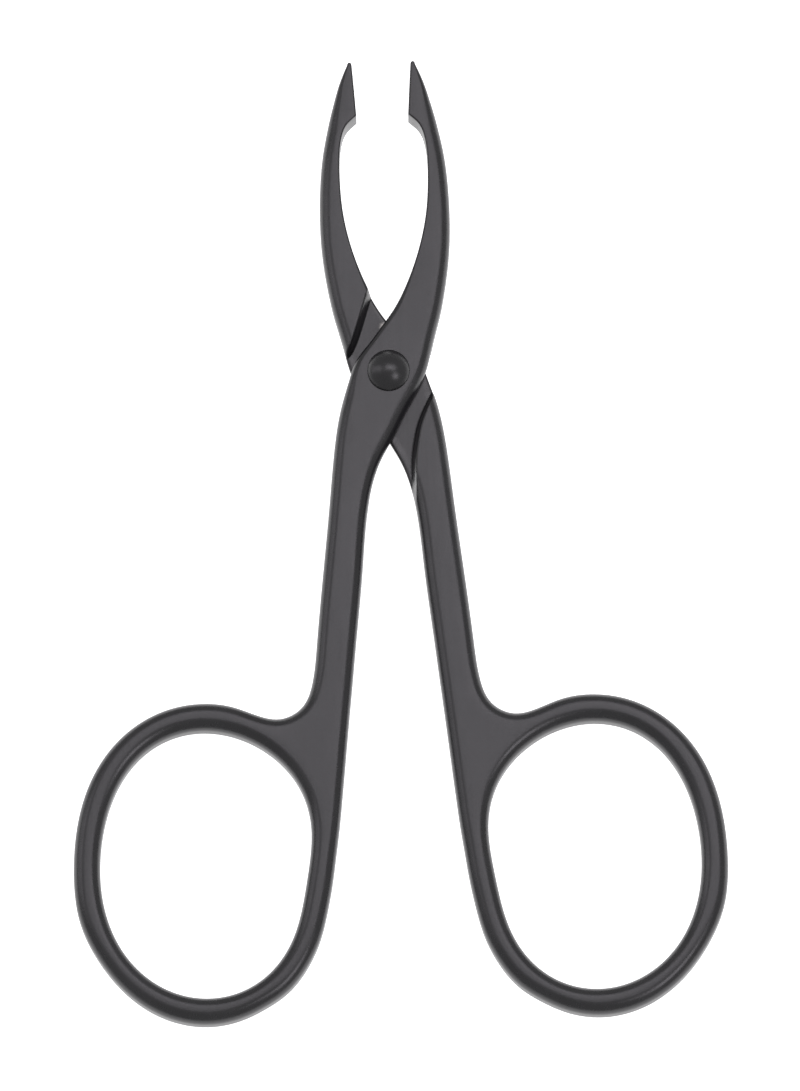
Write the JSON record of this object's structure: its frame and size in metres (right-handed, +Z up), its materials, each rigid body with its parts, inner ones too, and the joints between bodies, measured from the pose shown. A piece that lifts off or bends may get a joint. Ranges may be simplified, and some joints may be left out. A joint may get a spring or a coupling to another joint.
{
  "type": "scissor-handled tweezers",
  "caption": "Small black scissor-handled tweezers: slim bowed jaws with flat gripping tips, straight shanks and oval finger rings, turning on a domed rivet.",
  "frame": {"origin": "on the pivot rivet's axis, at the flat underside that the tool lies on", "axes": "+Y from the rivet towards the tips, +Z up through the thickness to the rivet's domed head, +X towards the front lever's jaw"},
  "size_m": [0.0662, 0.101, 0.0044],
  "materials": {
    "lever_black": "satin black coating on steel",
    "rivet_black": "smooth satin black coating on steel"
  },
  "bodies": {
    "back_body": {"back_lever": "lever_black", "pivot_rivet": "rivet_black"},
    "front_body": {"front_lever": "lever_black"}
  },
  "joints": [
    {"name": "pivot", "type": "hinge", "parent": "back_body", "child": "front_body", "pos_m": [0, 0, 0], "axis": [0, 0, 1], "range_deg": [-34, 10.2]}
  ]
}
